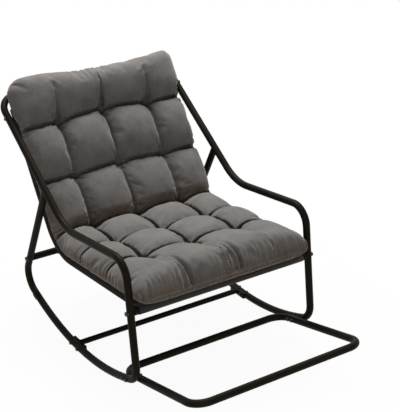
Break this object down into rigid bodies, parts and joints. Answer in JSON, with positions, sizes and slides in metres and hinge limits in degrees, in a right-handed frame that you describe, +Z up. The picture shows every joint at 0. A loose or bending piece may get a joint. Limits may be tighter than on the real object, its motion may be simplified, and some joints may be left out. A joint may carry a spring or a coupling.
{
  "type": "rocking chair",
  "caption": "Outdoor rocking lounge chair with a bent steel tube frame, a fabric sling, a tufted cushion and a fixed loop footrest.",
  "frame": {"origin": "on the floor, at the middle of the chair's whole width and whole length", "axes": "+Z up, +X towards the sitter's left, the sitter faces -Y and the chair's length lies along Y"},
  "size_m": [0.7312, 1.2831, 0.8422],
  "materials": {
    "frame_steel": "black powder coat, semi-matte",
    "plain_steel": "zinc plated",
    "dark_fasteners": "black zinc, semi-matte",
    "rubber": "matte moulded rubber",
    "sling_fabric": "tight woven outdoor cloth",
    "cushion_fabric": "short pile velvet"
  },
  "bodies": {
    "frame": {"right_side_frame": "frame_steel", "left_side_frame": "frame_steel", "back_top_loop": "frame_steel", "back_spigots": "plain_steel", "back_screws": "dark_fasteners", "front_seat_bar": "frame_steel", "rear_crossbar": "frame_steel", "crossbar_inserts": "plain_steel", "crossbar_bolts": "dark_fasteners", "crossbar_washers": "dark_fasteners", "mid_crossbar": "frame_steel", "mid_bar_saddles": "frame_steel", "mid_bar_bolts": "dark_fasteners", "mid_bar_nuts": "dark_fasteners", "footrest_loop": "frame_steel", "footrest_bolts": "dark_fasteners", "footrest_nuts": "dark_fasteners", "footrest_spacers": "rubber", "saddle_washers": "dark_fasteners", "rocker_stoppers": "rubber", "seat_sling": "sling_fabric", "sling_tie_panel": "sling_fabric"},
    "cushion": {"cushion": "cushion_fabric"}
  },
  "joints": [
    {"name": "cushion_lift", "type": "slide", "parent": "frame", "child": "cushion", "axis": [0, -0.409, 0.9125], "range_m": [0, 0.4]}
  ]
}
